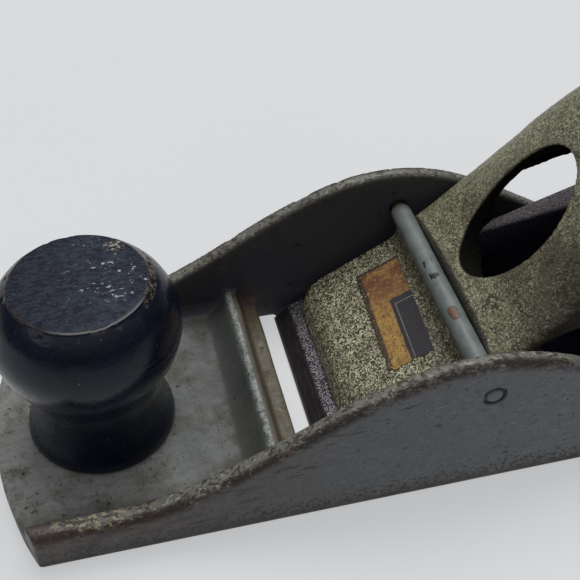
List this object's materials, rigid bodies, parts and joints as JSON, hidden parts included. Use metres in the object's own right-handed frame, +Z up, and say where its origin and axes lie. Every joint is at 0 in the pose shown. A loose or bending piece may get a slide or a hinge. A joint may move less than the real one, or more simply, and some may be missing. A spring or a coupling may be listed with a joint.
{
  "type": "block plane",
  "caption": "Small low-angle block plane: bowed-end iron body with swelling sides, round front knob, cutter on a sloping bed, and a hooked lever cap with a palm dome and finger wheel.",
  "frame": {"origin": "middle of the sole, on the sole face", "axes": "+X from toe (knob end) to heel, +Y across the plane to the far side, +Z up from the sole"},
  "size_m": [0.178, 0.051, 0.0609],
  "materials": {
    "grey_enamel": "worn enamel over cast iron",
    "rod_enamel": "worn enamel",
    "dark_tool_steel": "oxidised",
    "hammered_enamel": "speckled enamel",
    "plain_steel": "satin",
    "printed_label": "worn print",
    "black_lacquer": "glossy lacquer"
  },
  "bodies": {
    "plane_body": {"body": "grey_enamel", "cross_rod": "rod_enamel", "front_knob": "black_lacquer", "knob_stud": "plain_steel"},
    "cutter": {"cutter": "dark_tool_steel"},
    "lever_cap": {"lever_cap": "hammered_enamel", "cap_label": "printed_label"},
    "clamp_screw": {"cap_screw": "plain_steel"},
    "clamp_wheel": {"cap_wheel": "plain_steel"}
  },
  "joints": [
    {"name": "cutter_slide", "type": "slide", "parent": "plane_body", "child": "cutter", "axis": [0.9397, 0, 0.342], "range_m": [-0.002, 0.05]},
    {"name": "cap_rock", "type": "hinge", "parent": "plane_body", "child": "lever_cap", "pos_m": [-0.0085, 0, 0.02345], "axis": [0, 1, 0], "range_deg": [0, 3.7]},
    {"name": "clamp_screw_lift", "type": "slide", "parent": "lever_cap", "child": "clamp_screw", "axis": [-0.342, 0, 0.9397], "range_m": [0, 0.003]},
    {"name": "clamp_wheel_turn", "type": "hinge", "parent": "clamp_screw", "child": "clamp_wheel", "pos_m": [0.03344, 0, 0.02672], "axis": [-0.342, 0, 0.9397], "range_deg": [0, 870]}
  ],
  "couplings": [
    {"joint": "clamp_wheel_turn", "follows": "clamp_screw_lift", "rad_per_m": 5026.5},
    {"joint": "cap_rock", "follows": "clamp_screw_lift", "rad_per_m": 21}
  ]
}
